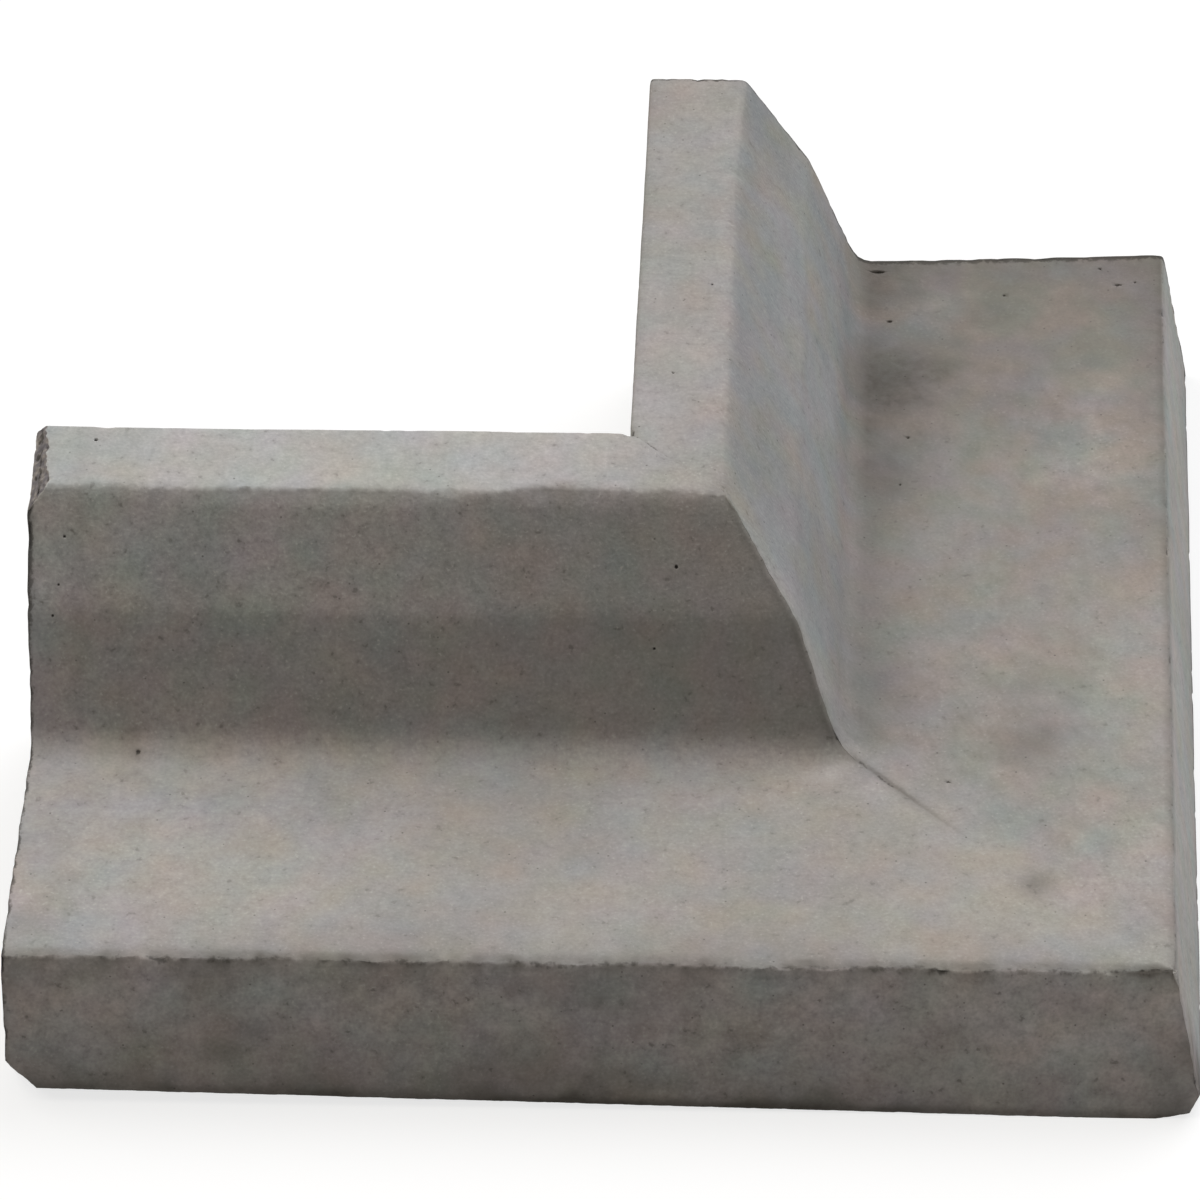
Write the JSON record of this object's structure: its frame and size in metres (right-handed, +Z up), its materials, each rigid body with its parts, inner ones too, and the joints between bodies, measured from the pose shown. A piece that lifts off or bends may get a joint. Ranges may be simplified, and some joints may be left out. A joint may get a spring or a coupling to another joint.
{
  "type": "concrete edging corner",
  "caption": "Square outside corner of a precast concrete edging: an upright kerb with a bent face and a shallow drainage channel along its foot, cast in one piece.",
  "frame": {"origin": "on the base plane, under the middle of the square outline of the two legs", "axes": "+Z up; one leg runs towards -X and the other towards +Y from the outer corner at +X, -Y; the channel is on the outside, towards -Y and +X"},
  "size_m": [0.6, 0.6, 0.2],
  "materials": {
    "concrete": "bare grey concrete, as cast, matt, with pores and stains"
  },
  "bodies": {
    "root": {"edging_corner": "concrete"}
  },
  "joints": []
}
